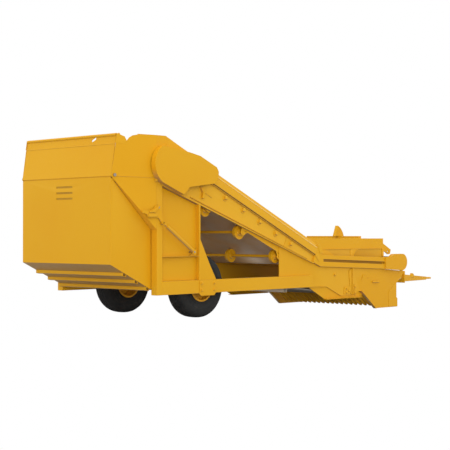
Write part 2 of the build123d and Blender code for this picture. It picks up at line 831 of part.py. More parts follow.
comb_angle = atan2(comb_rear[1] - comb_tip[1], comb_tip[0] - comb_rear[0])
comb_length = hypot(comb_tip[0] - comb_rear[0], comb_tip[1] - comb_rear[1])
comb_plane = Plane(origin=(rear_x + comb_rear[0], 0, comb_rear[1]),
                   x_dir=(cos(comb_angle), 0, -sin(comb_angle)),
                   z_dir=(sin(comb_angle), 0, cos(comb_angle)))
with BuildPart() as tine:
    with BuildSketch(comb_plane):
        with BuildLine():
            half = tine_width / 2
            Polyline((0, -half), (comb_length - tine_point, -half), (comb_length, 0),
                     (comb_length - tine_point, half), (0, half), close=True)
        make_face()
    extrude(amount=tine_depth)
    long_edges = tine.edges().filter_by(lambda e: e.length > comb_length / 2)
    chamfer(long_edges.group_by(Axis.Z)[0], length=12)
with BuildPart() as comb_tines:
    for number in range(tine_count):
        place = (number - (tine_count - 1) / 2) * tine_pitch
        add(tine.part.moved(Location((0, place, 0))))
save("comb_tines", comb_tines.part)

with BuildPart() as comb_beam:
    with BuildSketch(Plane(origin=comb_plane.origin + comb_plane.z_dir * tine_depth,
                           x_dir=comb_plane.x_dir, z_dir=(0, -1, 0))):
        with Locations((60, 45)):
            Rectangle(110, 90)
            Rectangle(110 - 2 * sheet, 90 - 2 * sheet, mode=Mode.SUBTRACT)
    extrude(amount=web_outer - sheet, both=True)
save("comb_beam", comb_beam.part)

belly_half = frame_half - rail_width
comb_half = (tine_count - 1) / 2 * tine_pitch + tine_width / 2
# The pan slopes down to the comb and ends in a lip that is welded to the backs of the tines.
lip_weld = 16
lip_top = (comb_rear[0] + lip_weld * sin(comb_angle), comb_rear[1] + lip_weld * cos(comb_angle))
with BuildPart() as belly_pan:
    add(cross_solid([(belly_rear, belly_height), (belly_bend, belly_height), belly_front,
                     (belly_front[0], belly_front[1] + sheet), (belly_bend, belly_height + sheet),
                     (belly_rear, belly_height + sheet)], belly_half))
    add(cross_solid([belly_front, (belly_front[0] + sheet, belly_front[1]), comb_rear, lip_top,
                     (lip_top[0] - sheet, lip_top[1] + 4),
                     (belly_front[0], belly_front[1] + sheet)], comb_half))
    add(cross_solid([(belly_rear, belly_height - 60), (belly_rear + 80, belly_height - 60),
                     (belly_rear + 80, belly_height), (belly_rear, belly_height)], belly_half))
    add(cross_solid([(belly_rear + 6, belly_height - 54), (belly_rear + 74, belly_height - 54),
                     (belly_rear + 74, belly_height - 6), (belly_rear + 6, belly_height - 6)],
                    belly_half), mode=Mode.SUBTRACT)
save("belly_pan", belly_pan.part)

# ---- drawbar ----
crosshead_rear = 5965
crosshead_front = 6065
with BuildPart() as drawbar:
    add(cross_solid([(crosshead_rear, 455), (crosshead_front, 455), (crosshead_front, 570),
                     (crosshead_rear, 570)], web_outer - sheet))
    add(cross_solid([(crosshead_rear + 8, 463), (crosshead_front - 8, 463),
                     (crosshead_front - 8, 562), (crosshead_rear + 8, 562)],
                    web_outer - sheet), mode=Mode.SUBTRACT)
    with BuildSketch(Plane.XY.offset(395)):
        for side in (-1, 1):
            with BuildLine():
                Polyline((rear_x + crosshead_front - 30, side * 900),
                         (rear_x + crosshead_front - 30, side * 780),
                         (rear_x + 7230, side * 60), (rear_x + 7230, side * 190), close=True)
            make_face()
    extrude(amount=112)
    with BuildSketch(Plane.XY.offset(395 + sheet)):
        for side in (-1, 1):
            with BuildLine():
                Polyline((rear_x + crosshead_front + 4, side * 868),
                         (rear_x + crosshead_front + 4, side * 774),
                         (rear_x + 7205, side * 88), (rear_x + 7205, side * 190), close=True)
            make_face()
    extrude(amount=112 - 2 * sheet, mode=Mode.SUBTRACT)
    add(cross_solid([(7215, 318), (7235, 318), (7235, 520), (7215, 520)], 250))

tongue_rear = 7235
tongue_front = 8180
tongue_end_half = hitch_thickness / 2 + 12


def tongue(wall):
    """The tapered tongue, or the space left inside it by a wall of this thickness."""
    with BuildPart() as tapered:
        add(cross_solid([(tongue_rear + wall, 336 + wall),
                         (tongue_front - wall, hitch_height - tongue_end_half + wall),
                         (tongue_front - wall, hitch_height + tongue_end_half - wall),
                         (tongue_rear + wall, 462 - wall)], 200))
        with BuildSketch(Plane.XY.offset(300)):
            with BuildLine():
                Polyline((rear_x + tongue_rear, -195 + wall), (rear_x + tongue_front, -62 + wall),
                         (rear_x + tongue_front, 62 - wall), (rear_x + tongue_rear, 195 - wall),
                         close=True)
            make_face()
        extrude(amount=200, mode=Mode.INTERSECT)
    return tapered.part


drawbar_tongue = cut(tongue(0), tongue(10))
save("drawbar", join(drawbar.part, drawbar_tongue))

hitch_radius = 60
with BuildPart() as hitch_plate:
    with BuildSketch(Plane.XY.offset(hitch_height - hitch_thickness / 2)):
        with Locations((-rear_x - hitch_radius, 0)):
            Circle(hitch_radius)
        with Locations((-rear_x - (190 + hitch_radius) / 2, 0)):
            Rectangle(190 - hitch_radius, 2 * hitch_radius)
        with Locations((-rear_x - hitch_radius, 0)):
            Circle(hitch_bore / 2, mode=Mode.SUBTRACT)
    extrude(amount=hitch_thickness)
save("hitch_plate", hitch_plate.part)

# ---- axle and wheels ----
wheel_mid = wheel_outer - tyre_width / 2
wheel_centre = (wheel_station, wheel_height)
axle_plate = side_solid([(1435, rail_top), (1435, 375), (1462, 350), (1712, 350), (1752, 400),
                         (1752, rail_top)], frame_half, sheet)
with BuildPart() as axle_beam:
    add(cross_shaft(wheel_centre, spindle_diameter, belly_half))
    add(cross_shaft(wheel_centre, spindle_diameter + 40, wheel_outer - tyre_width - 12))
    add(axle_plate)
    add(mirror(axle_plate, about=Plane.XZ))
save("axle_beam", axle_beam.part)

wheel_origin = (rear_x + wheel_station, -wheel_mid, wheel_height)
wheel_plane = Plane(origin=wheel_origin, x_dir=(0, 1, 0), z_dir=(1, 0, 0))
wheel_axis = Axis(wheel_origin, (0, 1, 0))
half_tyre = tyre_width / 2
bead_radius = rim_radius + 8
bead_half = half_tyre - 26
with BuildPart() as tyre:
    with BuildSketch(wheel_plane):
        with BuildLine():
            tread = Line((-half_tyre + 38, tyre_radius), (half_tyre - 38, tyre_radius))
            Spline(tread @ 1, (half_tyre, tyre_radius - 95), (bead_half, bead_radius),
                   tangents=((1, -0.12), (-0.5, -1)))
            Polyline((bead_half, bead_radius), (bead_half - 34, bead_radius),
                     (bead_half - 26, bead_radius + 40), (half_tyre - 24, tyre_radius - 100),
                     (half_tyre - 46, tyre_radius - 32), (-half_tyre + 46, tyre_radius - 32),
                     (-half_tyre + 24, tyre_radius - 100), (-bead_half + 26, bead_radius + 40),
                     (-bead_half + 34, bead_radius), (-bead_half, bead_radius))
            Spline((-bead_half, bead_radius), (-half_tyre, tyre_radius - 95), tread @ 0,
                   tangents=((-0.5, 1), (1, 0.12)))
        make_face()
    revolve(axis=wheel_axis)
save_pair("tyre", tyre.part)

rim_half = half_tyre - 12
with BuildPart() as wheel_rim:
    with BuildSketch(wheel_plane):
        with BuildLine():
            Polyline((-rim_half, rim_radius + 8), (-rim_half, rim_radius - 2),
                     (rim_half, rim_radius - 2), (rim_half, rim_radius + 8), close=True)
        make_face()
        with BuildLine():
            Polyline((-rim_half, rim_radius + 8), (-rim_half, rim_radius + 22),
                     (-rim_half + 5, rim_radius + 22), (-rim_half + 5, rim_radius + 8), close=True)
        make_face()
        with BuildLine():
            Polyline((rim_half, rim_radius + 8), (rim_half, rim_radius + 22),
                     (rim_half - 5, rim_radius + 22), (rim_half - 5, rim_radius + 8), close=True)
        make_face()
        with BuildLine():
            Polyline((-62, spindle_diameter / 2 + fit_gap), (-62, hub_radius - 8),
                     (-46, hub_radius), (-46, rim_radius - 2), (-34, rim_radius - 2),
                     (-34, hub_radius), (70, hub_radius - 10),
                     (70, spindle_diameter / 2 + fit_gap), close=True)
        make_face()
    revolve(axis=wheel_axis)
    with BuildSketch(Plane(origin=wheel_origin, x_dir=(1, 0, 0), z_dir=(0, -1, 0)).offset(46)):
        with PolarLocations(stud_circle / 2, stud_count):
            RegularPolygon(15, 6)
    extrude(amount=16)
save_pair("wheel_rim", wheel_rim.part)

# ---- gate latch: crank, cylinder barrel and rod on each side ----
crank_pin = pin_solid(crank_eye, eye_pin_diameter, crank_inner + crank_thickness,
                      crank_inner + crank_thickness + 20)
with BuildPart() as latch_crank:
    with BuildSketch(side_plane(crank_inner)):
        with BuildLine():
            Polyline(crank_pivot, (crank_pivot[0] + 34, crank_pivot[1] - 20),
                     (crank_eye[0] + 24, crank_eye[1]), (crank_eye[0], crank_eye[1] - 24),
                     (crank_eye[0] - 44, crank_eye[1] + 40), (681, 1360), (509, 1363),
                     (492, 1402), crank_finger, (crank_finger[0], crank_finger[1] + 30),
                     (530, 1450), (600, 1474), (650, 1518), close=True)
        make_face()
        with Locations(crank_pivot):
            Circle(34)
            Circle(latch_pin_diameter / 2 + fit_gap, mode=Mode.SUBTRACT)
        with Locations(crank_eye):
            Circle(24)
    extrude(amount=crank_thickness)
save_pair("latch_crank", join(latch_crank.part, crank_pin))

latch_pin = pin_solid(crank_pivot, latch_pin_diameter, frame_half, crank_inner + crank_thickness + 6)
barrel_pin = pin_solid(barrel_pivot, latch_pin_diameter, panel_outer, crank_inner + crank_thickness + 24)
right_pins = join(gate_pins, latch_pin, barrel_pin)
save("hinge_pins", join(right_pins, mirror(right_pins, about=Plane.XZ)))

cylinder_run = hypot(crank_eye[0] - barrel_pivot[0], crank_eye[1] - barrel_pivot[1])
cylinder_dir = ((crank_eye[0] - barrel_pivot[0]) / cylinder_run,
                0, (crank_eye[1] - barrel_pivot[1]) / cylinder_run)
eye_thickness = 18
cylinder_mid = crank_inner + crank_thickness + crank_gap + eye_thickness / 2
cylinder_plane = Plane(origin=(rear_x + barrel_pivot[0], -cylinder_mid, barrel_pivot[1]),
                       x_dir=(0, 1, 0), z_dir=cylinder_dir)
barrel_length = 590
with BuildPart() as latch_barrel:
    with BuildSketch(cylinder_plane.offset(30)):
        Circle(barrel_radius)
    extrude(amount=barrel_length - 30)
    with BuildSketch(cylinder_plane.offset(60)):
        Circle(rod_radius + fit_gap)
    extrude(amount=barrel_length, mode=Mode.SUBTRACT)
    with BuildSketch(side_plane(cylinder_mid - eye_thickness / 2)):
        with Locations(barrel_pivot):
            Circle(32)
    extrude(amount=eye_thickness)
    with BuildSketch(side_plane(cylinder_mid - eye_thickness / 2)):
        with Locations(barrel_pivot):
            Circle(latch_pin_diameter / 2 + fit_gap)
    extrude(amount=eye_thickness, mode=Mode.SUBTRACT)
save_pair("latch_barrel", latch_barrel.part)

with BuildPart() as latch_rod:
    with BuildSketch(cylinder_plane.offset(160)):
        Circle(rod_radius)
    extrude(amount=cylinder_run - 160 - 12)
    with BuildSketch(side_plane(cylinder_mid - eye_thickness / 2)):
        with Locations(crank_eye):
            Circle(eye_pin_diameter / 2 + eye_clearance + 9)
    extrude(amount=eye_thickness)
    with BuildSketch(side_plane(cylinder_mid - eye_thickness / 2 - 1)):
        with Locations(crank_eye):
            Circle(eye_pin_diameter / 2 + eye_clearance)
    extrude(amount=eye_thickness + 2, mode=Mode.SUBTRACT)
save_pair("latch_rod", latch_rod.part)
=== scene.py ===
import json
import math

import bmesh
import bpy
from mathutils import Matrix, Vector


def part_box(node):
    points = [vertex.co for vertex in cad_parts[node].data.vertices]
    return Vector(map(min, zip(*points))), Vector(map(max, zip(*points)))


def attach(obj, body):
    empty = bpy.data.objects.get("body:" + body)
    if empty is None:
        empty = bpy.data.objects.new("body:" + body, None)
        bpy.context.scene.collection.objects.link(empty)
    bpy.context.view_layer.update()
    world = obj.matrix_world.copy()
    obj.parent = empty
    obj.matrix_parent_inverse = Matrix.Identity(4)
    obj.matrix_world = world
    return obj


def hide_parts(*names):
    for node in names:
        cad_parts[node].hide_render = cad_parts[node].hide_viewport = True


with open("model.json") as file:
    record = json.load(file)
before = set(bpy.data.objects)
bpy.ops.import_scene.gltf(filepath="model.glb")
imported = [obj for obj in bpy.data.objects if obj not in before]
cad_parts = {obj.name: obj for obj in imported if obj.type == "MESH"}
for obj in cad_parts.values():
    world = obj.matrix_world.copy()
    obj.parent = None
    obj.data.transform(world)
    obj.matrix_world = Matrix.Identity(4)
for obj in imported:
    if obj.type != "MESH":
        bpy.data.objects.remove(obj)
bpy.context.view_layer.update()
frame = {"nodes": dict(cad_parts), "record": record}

# ---------------------------------------------------------------- camera
# A long lens behind the right rear corner, at a standing person's chest, so that uprights
# stay upright and the comb shows under the frame.
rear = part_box("gate_shell")[0].x
camera_data = bpy.data.cameras.new("camera")
SENSOR_WIDTH = 36.0
FOCAL_LENGTH = 91.84
STAND_BEHIND = 9.266
STAND_RIGHT = 11.457
CHEST_HEIGHT = 1.164
TILT_UP = math.radians(0.42)
camera_data.sensor_width = SENSOR_WIDTH
camera_data.lens = FOCAL_LENGTH
camera_data.clip_end = 400.0
camera = bpy.data.objects.new("camera", camera_data)
bpy.context.scene.collection.objects.link(camera)
camera.location = (rear - STAND_BEHIND, -STAND_RIGHT, CHEST_HEIGHT)
sight = Vector((0.730, 0.683, math.tan(TILT_UP)))
camera.rotation_euler = sight.to_track_quat("-Z", "Y").to_euler()
bpy.context.scene.camera = camera

# ---------------------------------------------------------------- studio
# An even white sky, a broad soft sun over the right rear shoulder and a weaker one overhead.
# The pale floor only returns light from below: the camera doesn't see it. A small, weak lamp
# stands inside the frame, over the belly pan.
sky = bpy.data.worlds.new("studio_sky")
bpy.context.scene.world = sky
sky.use_nodes = True
sky.node_tree.nodes["Background"].inputs["Color"].default_value = (1.0, 1.0, 1.0, 1.0)
sky.node_tree.nodes["Background"].inputs["Strength"].default_value = 1.0
bpy.context.scene.view_settings.view_transform = "Standard"

for name, travel, strength, softness in (
        ("shoulder_light", (0.60, 0.66, -0.02), 1.55, 34.0),
        ("overhead_light", (0.10, 0.12, -1.0), 0.50, 50.0)):
    lamp_data = bpy.data.lights.new(name, "SUN")
    lamp_data.energy = strength
    lamp_data.angle = math.radians(softness)
    lamp = bpy.data.objects.new(name, lamp_data)
    bpy.context.scene.collection.objects.link(lamp)
    lamp.rotation_euler = Vector(travel).to_track_quat("-Z", "Y").to_euler()

fill_data = bpy.data.lights.new("frame_fill", "POINT")
fill_data.energy = 1.7
fill_data.shadow_soft_size = 0.30
frame_fill = bpy.data.objects.new("frame_fill", fill_data)
bpy.context.scene.collection.objects.link(frame_fill)
frame_fill.location = (rear + 3.45, -0.10, 0.60)
frame_fill.visible_camera = False

floor_mesh = bpy.data.meshes.new("studio_floor")
floor_build = bmesh.new()
bmesh.ops.create_circle(floor_build, cap_ends=True, segments=96, radius=60.0)
floor_build.to_mesh(floor_mesh)
floor_build.free()
studio_floor = bpy.data.objects.new("studio_floor", floor_mesh)
bpy.context.scene.collection.objects.link(studio_floor)
studio_floor.location.z = -0.002
studio_floor.visible_camera = False
floor_paint = bpy.data.materials.new("studio_floor_paint")
floor_paint.use_nodes = True
floor_shader = floor_paint.node_tree.nodes["Principled BSDF"]
floor_shader.inputs["Base Color"].default_value = (0.42, 0.42, 0.43, 1.0)
floor_shader.inputs["Roughness"].default_value = 0.9
floor_mesh.materials.append(floor_paint)

# ---------------------------------------------------------------- painted steelwork
# Welded box section and folded plate, sprayed in one coat of warm yellow enamel. Sheared edges
# are dressed round, so each piece is a rounded copy of its CAD solid.
ENAMEL = (0.735, 0.375, 0.0095)
ENAMEL_DEEP = (0.725, 0.352, 0.0080)
# A paler yellow, laid along sharp edges as a painted highlight.
EDGE_HIGHLIGHT = (0.84, 0.490, 0.040)
# A grey-brown, laid on faces that look down as painted shade.
UNDERSIDE_SHADE_TONE = (0.31, 0.225, 0.145)
# A dark brown, laid in corners and crevices as painted shade.
CREVICE_SHADE = (0.20, 0.115, 0.035)


def join_nodes(tree, source, output, target, socket):
    tree.links.new(source.outputs[output], target.inputs[socket])


def two_tone(tree, place, scale, detail, first, second, low=0.38, high=0.66):
    """Noise that drifts between two colours."""
    noise = tree.nodes.new("ShaderNodeTexNoise")
    noise.inputs["Scale"].default_value = scale
    noise.inputs["Detail"].default_value = detail
    join_nodes(tree, place, "Object", noise, "Vector")
    ramp = tree.nodes.new("ShaderNodeValToRGB")
    ramp.color_ramp.elements[0].position = low
    ramp.color_ramp.elements[0].color = (*first, 1.0)
    ramp.color_ramp.elements[1].position = high
    ramp.color_ramp.elements[1].color = (*second, 1.0)
    join_nodes(tree, noise, "Fac", ramp, "Fac")
    return ramp


def spread(tree, source, output, from_low, from_high, to_low, to_high):
    """Maps one range of numbers to another and holds the ends."""
    span = tree.nodes.new("ShaderNodeMapRange")
    span.inputs["From Min"].default_value = from_low
    span.inputs["From Max"].default_value = from_high
    span.inputs["To Min"].default_value = to_low
    span.inputs["To Max"].default_value = to_high
    join_nodes(tree, source, output, span, "Value")
    return span


def lay_over(tree, under, over, amount):
    """One colour laid over another, by an amount from 0 to 1."""
    mix = tree.nodes.new("ShaderNodeMixRGB")
    join_nodes(tree, amount, 0, mix, "Fac")
    join_nodes(tree, under, 0, mix, "Color1")
    mix.inputs["Color2"].default_value = (*over, 1.0)
    return mix


def grain_bump(tree, place, shader, scale, strength, depth):
    """A fine raised grain."""
    grain = tree.nodes.new("ShaderNodeTexNoise")
    grain.inputs["Scale"].default_value = scale
    grain.inputs["Detail"].default_value = 3.0
    join_nodes(tree, place, "Object", grain, "Vector")
    bump = tree.nodes.new("ShaderNodeBump")
    bump.inputs["Strength"].default_value = strength
    bump.inputs["Distance"].default_value = depth
    join_nodes(tree, grain, "Fac", bump, "Height")
    join_nodes(tree, bump, "Normal", shader, "Normal")


def enamel(name, base, deep, roughness=0.40, underside_shade=0.62):
    """Sprayed enamel: two close yellows, a painted highlight on edges, painted shade in corners
    and below.
    """
    paint = bpy.data.materials.new(name)
    paint.use_nodes = True
    tree = paint.node_tree
    shader = tree.nodes["Principled BSDF"]
    place = tree.nodes.new("ShaderNodeTexCoord")
    colour = two_tone(tree, place, 0.8, 4.0, base, deep)
    surface = tree.nodes.new("ShaderNodeNewGeometry")
    # Painted highlight: the colour turns paler where the surface is sharply convex.
    edge_highlight = spread(tree, surface, "Pointiness", 0.54, 0.66, 0.0, 0.45)
    colour = lay_over(tree, colour, EDGE_HIGHLIGHT, edge_highlight)
    # Painted shade: the colour darkens where ambient occlusion finds other faces close by.
    corner = tree.nodes.new("ShaderNodeAmbientOcclusion")
    corner.samples = 6
    corner.inputs["Distance"].default_value = 0.05
    crevice_shade = spread(tree, corner, "AO", 0.60, 0.20, 0.0, 0.42)
    colour = lay_over(tree, colour, CREVICE_SHADE, crevice_shade)
    # Painted shade: faces that look down take the grey-brown, up to the given amount.
    facing = tree.nodes.new("ShaderNodeSeparateXYZ")
    join_nodes(tree, surface, "Normal", facing, "Vector")
    under = spread(tree, facing, "Z", -0.25, -0.75, 0.0, underside_shade)
    colour = lay_over(tree, colour, UNDERSIDE_SHADE_TONE, under)
    join_nodes(tree, colour, "Color", shader, "Base Color")
    sheen = tree.nodes.new("ShaderNodeTexNoise")
    sheen.inputs["Scale"].default_value = 11.0
    sheen.inputs["Detail"].default_value = 6.0
    join_nodes(tree, place, "Object", sheen, "Vector")
    gloss = spread(tree, sheen, "Fac", 0.2, 0.8, roughness - 0.07, roughness + 0.10)
    join_nodes(tree, gloss, "Result", shader, "Roughness")
    shader.inputs["Specular IOR Level"].default_value = 0.14
    grain_bump(tree, place, shader, 380.0, 0.05, 0.002)
    return paint


yellow_enamel = enamel("yellow_enamel", ENAMEL, ENAMEL_DEEP)


def mesh_of(name, build):
    """The finished mesh of a build."""
    mesh = bpy.data.meshes.new(name)
    build.to_mesh(mesh)
    build.free()
    return mesh


ROUNDED_ABOVE = math.radians(32.0)
SHARP_ABOVE = math.radians(38.0)


def set_piece(name, mesh, paint, body, edge=0.003):
    """Paints a mesh, rounds its edges, and fixes it to its body."""
    mesh.materials.clear()
    mesh.materials.append(paint)
    piece = bpy.data.objects.new(name, mesh)
    bpy.context.scene.collection.objects.link(piece)
    for polygon in mesh.polygons:
        polygon.use_smooth = True
    mesh.set_sharp_from_angle(angle=SHARP_ABOVE)
    if edge:
        rounding = piece.modifiers.new("rounding", "BEVEL")
        rounding.width = edge
        rounding.segments = 2
        rounding.limit_method = "ANGLE"
        rounding.angle_limit = ROUNDED_ABOVE
        evened = piece.modifiers.new("evened", "WEIGHTED_NORMAL")
        evened.keep_sharp = True
    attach(piece, body)
    return piece


def clean_mesh(name, build):
    """A fresh mesh from a build whose doubled corners are welded."""
    bmesh.ops.remove_doubles(build, verts=build.verts, dist=0.00002)
    bmesh.ops.recalc_face_normals(build, faces=build.faces)
    build.verts.index_update()
    mesh = bpy.data.meshes.new(name)
    mesh.from_pydata([tuple(corner.co) for corner in build.verts], [],
                     [[corner.index for corner in face.verts] for face in build.faces])
    mesh.update()
    build.free()
    return mesh


body_of = {node: body for body, nodes in frame["record"]["behaviour"]["bodies"].items()
           for node in nodes}


def dressed(node, paint, edge=0.003):
    """A rounded, painted copy of a CAD node, which stands for it."""
    build = bmesh.new()
    build.from_mesh(frame["nodes"][node].data)
    mesh = clean_mesh(node + "_dressed", build)
    piece = set_piece(node + "_dressed", mesh, paint, body_of[node], edge)
    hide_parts(node)
    return piece


def both(stem):
    """The right and left node of a pair."""
    return (stem + "_right", stem + "_left")


def at(station, across, height):
    """A point: its distance ahead of the hopper's rear wall, across to the left, and height."""
    return Vector((rear + station, across, height))


def side_strip(name, outline, inner, thickness, side, paint=yellow_enamel, body="chassis",
               edge=0.0015, splay=0.0):
    """A plate on a side: outline in (station, height), inner face from the middle. Splay is
    how far it spreads outwards with each metre forward."""
    build = bmesh.new()
    near = [build.verts.new(at(s, side * (inner + splay * s), h)) for s, h in outline]
    far = [build.verts.new(at(s, side * (inner + thickness + splay * s), h))
           for s, h in outline]
    build.faces.new(near)
    build.faces.new(far[::-1])
    count = len(outline)
    for corner in range(count):
        after = (corner + 1) % count
        build.faces.new((near[corner], far[corner], far[after], near[after]))
    bmesh.ops.recalc_face_normals(build, faces=build.faces)
    return set_piece(name, mesh_of(name, build), paint, body, edge)


def weld_bead(name, points, width, paint=yellow_enamel, body="chassis"):
    """A hand-laid fillet bead along a line, with the ripples of its runs."""
    build = bmesh.new()
    ring_count = 8
    rings = []
    pitch = width * 0.9
    for start, end in zip(points, points[1:]):
        run = end - start
        steps = max(2, int(run.length / pitch))
        turn = run.to_track_quat("Z", "Y").to_matrix()
        for step in range(steps + 1):
            ripple = 1.0 + 0.16 * (step % 2) + 0.05 * math.sin(step * 1.7)
            centre = start + run * (step / steps)
            rings.append([build.verts.new(centre + turn @ Vector((
                math.cos(a) * width / 2 * ripple, math.sin(a) * width / 2 * ripple, 0)))
                for a in (2 * math.pi * k / ring_count for k in range(ring_count))])
    for first, second in zip(rings, rings[1:]):
        for k in range(ring_count):
            after = (k + 1) % ring_count
            build.faces.new((first[k], first[after], second[after], second[k]))
    build.faces.new(rings[0][::-1])
    build.faces.new(rings[-1])
    bmesh.ops.recalc_face_normals(build, faces=build.faces)
    return set_piece(name, mesh_of(name, build), paint, body, edge=0)


SIDES = (("right", -1), ("left", 1))
FRAME_FACE = -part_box("frame_rail_right")[0].y
POST_FRONT = 0.770
RAIL_BOTTOM = 0.384
RAIL_TOP = 0.555

for node in (*both("frame_rail"), *both("rear_post"), *both("side_panel"), "hopper_bulkhead"):
    dressed(node, yellow_enamel)
for label, side in SIDES:
    weld_bead(f"post_weld_{label}",
              [at(POST_FRONT, side * (FRAME_FACE - 0.001), RAIL_BOTTOM),
               at(POST_FRONT, side * (FRAME_FACE - 0.001), RAIL_TOP),
               at(POST_FRONT, side * (FRAME_FACE - 0.058), RAIL_TOP + 0.001)], 0.008)
    side_strip(f"cylinder_bracket_{label}",
               [(1.292, 0.873), (1.452, 0.873), (1.452, 0.956), (1.395, 0.956), (1.345, 0.900)],
               FRAME_FACE - 0.052, 0.010, side)

# ---------------------------------------------------------------- axle
# A cross tube with a spindle at each end, in painted steel. It passes through plates that are
# bolted over the outside of each frame rail.
dressed("axle_beam", yellow_enamel)


def bolt_row(name, places, out, across=0.024, paint=yellow_enamel, body="chassis"):
    """Hexagon heads on washers, all in one piece, standing out along a direction."""
    build = bmesh.new()
    turn = Vector(out).to_track_quat("Z", "Y").to_matrix().to_4x4()
    hexagon, chamfered, washer_top, head_top, crown = (
        across * share for share in (0.577, 0.46, 0.14, 0.62, 0.72))
    layers = ((across * 0.98, across * 0.94, 0.0, washer_top, 24),
              (hexagon, hexagon, washer_top, head_top, 6),
              (hexagon, chamfered, head_top, crown, 6))
    for place in places:
        for foot, head, low, high, sides in layers:
            bmesh.ops.create_cone(
                build, cap_ends=True, segments=sides, radius1=foot, radius2=head,
                depth=high - low,
                matrix=Matrix.Translation(place) @ turn @ Matrix.Translation(
                    (0, 0, (low + high) / 2)))
    return set_piece(name, mesh_of(name, build), paint, body, edge=0)


AXLE_PLATE_FACE = FRAME_FACE + 0.008
for label, side in SIDES:
    bolt_row(f"axle_bolts_{label}",
             [at(s, side * AXLE_PLATE_FACE, h)
              for s in (1.475, 1.712) for h in (0.515, 0.425)], (0, side, 0), 0.026)

# ---------------------------------------------------------------- elevator sides
# Each side is a deep folded web under a box rail with a bevelled shoulder. The web carries
# roller bosses; a lip, a shoulder ridge and a lower flange stiffen the run.
SLOPE = math.radians(24.2)
ELEVATOR_CORNER = (0.851, 2.388)
WEB_FACE = 0.950
RAIL_START = 0.92
RAIL_END = 3.36
SHOULDER_DEPTH = 0.058


def down_slope(along, depth):
    """A point on the elevator's side: along its slope, and square below its top edge."""
    return (ELEVATOR_CORNER[0] + along * math.cos(SLOPE) - depth * math.sin(SLOPE),
            ELEVATOR_CORNER[1] - along * math.sin(SLOPE) - depth * math.cos(SLOPE))


def slope_band(first, last, top, bottom):
    """The outline of a band that runs down the slope between two depths."""
    return [down_slope(first, top), down_slope(last, top), down_slope(last, bottom),
            down_slope(first, bottom)]


# A pale yellow for the shoulder bead: a painted highlight along each rail's shoulder.
shoulder_highlight_enamel = enamel("shoulder_highlight_enamel", (0.93, 0.62, 0.20), (0.90, 0.54, 0.10), 0.34, 0.0)
for label, side in SIDES:
    dressed(f"elevator_web_{label}", yellow_enamel, 0)
    dressed(f"elevator_upper_rail_{label}", yellow_enamel, 0.004)
for label, side in SIDES:
    bolt_row(f"roller_bosses_{label}",
             [at(s, side * WEB_FACE, h) for s, h in
              ((1.966, 1.640), (2.321, 1.484), (2.659, 1.326), (3.001, 1.164), (3.323, 1.017))],
             (0, side, 0), 0.050)
    side_strip(f"rail_lip_{label}", slope_band(0.90, RAIL_END, 0.006, 0.016),
               FRAME_FACE - 0.0345, 0.008, side)
    shoulder_ends = [down_slope(along, SHOULDER_DEPTH) for along in (RAIL_START, RAIL_END)]
    # The bead is painted pale, as a highlight along the shoulder.
    weld_bead(f"rail_shoulder_{label}",
              [at(s, side * (FRAME_FACE - 0.001), h) for s, h in shoulder_ends],
              0.012, paint=shoulder_highlight_enamel)
    side_strip(f"rail_joint_{label}", slope_band(2.62, 2.70, 0.060, 0.158),
               FRAME_FACE - 0.003, 0.005, side)
    side_strip(f"web_upper_flange_{label}", slope_band(0.35, RAIL_END, 0.170, 0.180),
               WEB_FACE, 0.020, side)
    side_strip(f"web_step_{label}",
               [down_slope(2.70, 0.182), down_slope(2.79, 0.182), down_slope(2.79, 0.335),
                down_slope(2.70, 0.345)], WEB_FACE, 0.006, side)
    side_strip(f"web_foot_strip_{label}",
               [(1.30, 1.6305), (3.70, 0.7925), (3.70, 0.8005), (1.30, 1.6385)],
               WEB_FACE, 0.014, side)
    side_strip(f"head_bracket_{label}",
               [(1.480, 1.770), (1.545, 1.770), (1.556, 1.690), (1.545, 1.618), (1.505, 1.625),
                (1.516, 1.700)], WEB_FACE, 0.030, side)
    side_strip(f"head_stay_{label}",
               [(1.561, 1.714), (1.706, 1.645), (1.706, 1.631), (1.561, 1.700)],
               WEB_FACE, 0.008, side)

# ---------------------------------------------------------------- hopper
# The fixed upper part of the box: flared sheet sides with a pressed crease, and a leaning rear
# wall that is stiffened by a tube along its top edge.
# The hopper's sheets take almost none of the painted underside shade.
side_enamel = enamel("side_enamel", ENAMEL, ENAMEL_DEEP, underside_shade=0.05)


def cut_through(piece, outline, near, far, side_on=True):
    """Cuts a prism out of a piece: outline in (station, height), or (across, height)."""
    build = bmesh.new()
    rings = []
    for reach in (near, far):
        rings.append([build.verts.new(at(u, reach, h) if side_on else at(reach, u, h))
                      for u, h in outline])
    build.faces.new(rings[0])
    build.faces.new(rings[1][::-1])
    for corner in range(len(outline)):
        after = (corner + 1) % len(outline)
        build.faces.new((rings[0][corner], rings[1][corner], rings[1][after], rings[0][after]))
    bmesh.ops.recalc_face_normals(build, faces=build.faces)
    tool = bpy.data.objects.new("cutting_tool", mesh_of("cutting_tool", build))
    bpy.context.scene.collection.objects.link(tool)
    blank = bpy.data.objects.new("blank", piece.data.copy())
    bpy.context.scene.collection.objects.link(blank)
    cutting = blank.modifiers.new("cutting", "BOOLEAN")
    cutting.object = tool
    cutting.operation = "DIFFERENCE"
    cutting.solver = "EXACT"
    bpy.context.view_layer.update()
    result = blank.evaluated_get(bpy.context.evaluated_depsgraph_get())
    piece.data = bpy.data.meshes.new_from_object(result)
    bpy.data.objects.remove(blank)
    bpy.data.objects.remove(tool)


# A vee is notched in the top edge of each side, behind a shoulder that is rounded off.
SIDE_SPLAY = 0.1466
for label, side in SIDES:
    flared_side = dressed(f"hopper_side_{label}", side_enamel)
    cut_through(flared_side,
                [(0.150, 2.318), (0.227, 2.306), (0.263, 2.348), (0.313, 2.377),
                 (0.388, 2.3915), (0.388, 2.470), (0.150, 2.470)], side * 0.860, side * 1.030)
    side_strip(f"hopper_ear_{label}",
               [(0.083, 2.393), (0.195, 2.358), (0.226, 2.307), (0.205, 2.270), (0.060, 2.270)],
               0.8835, 0.005, side, side_enamel, splay=SIDE_SPLAY)

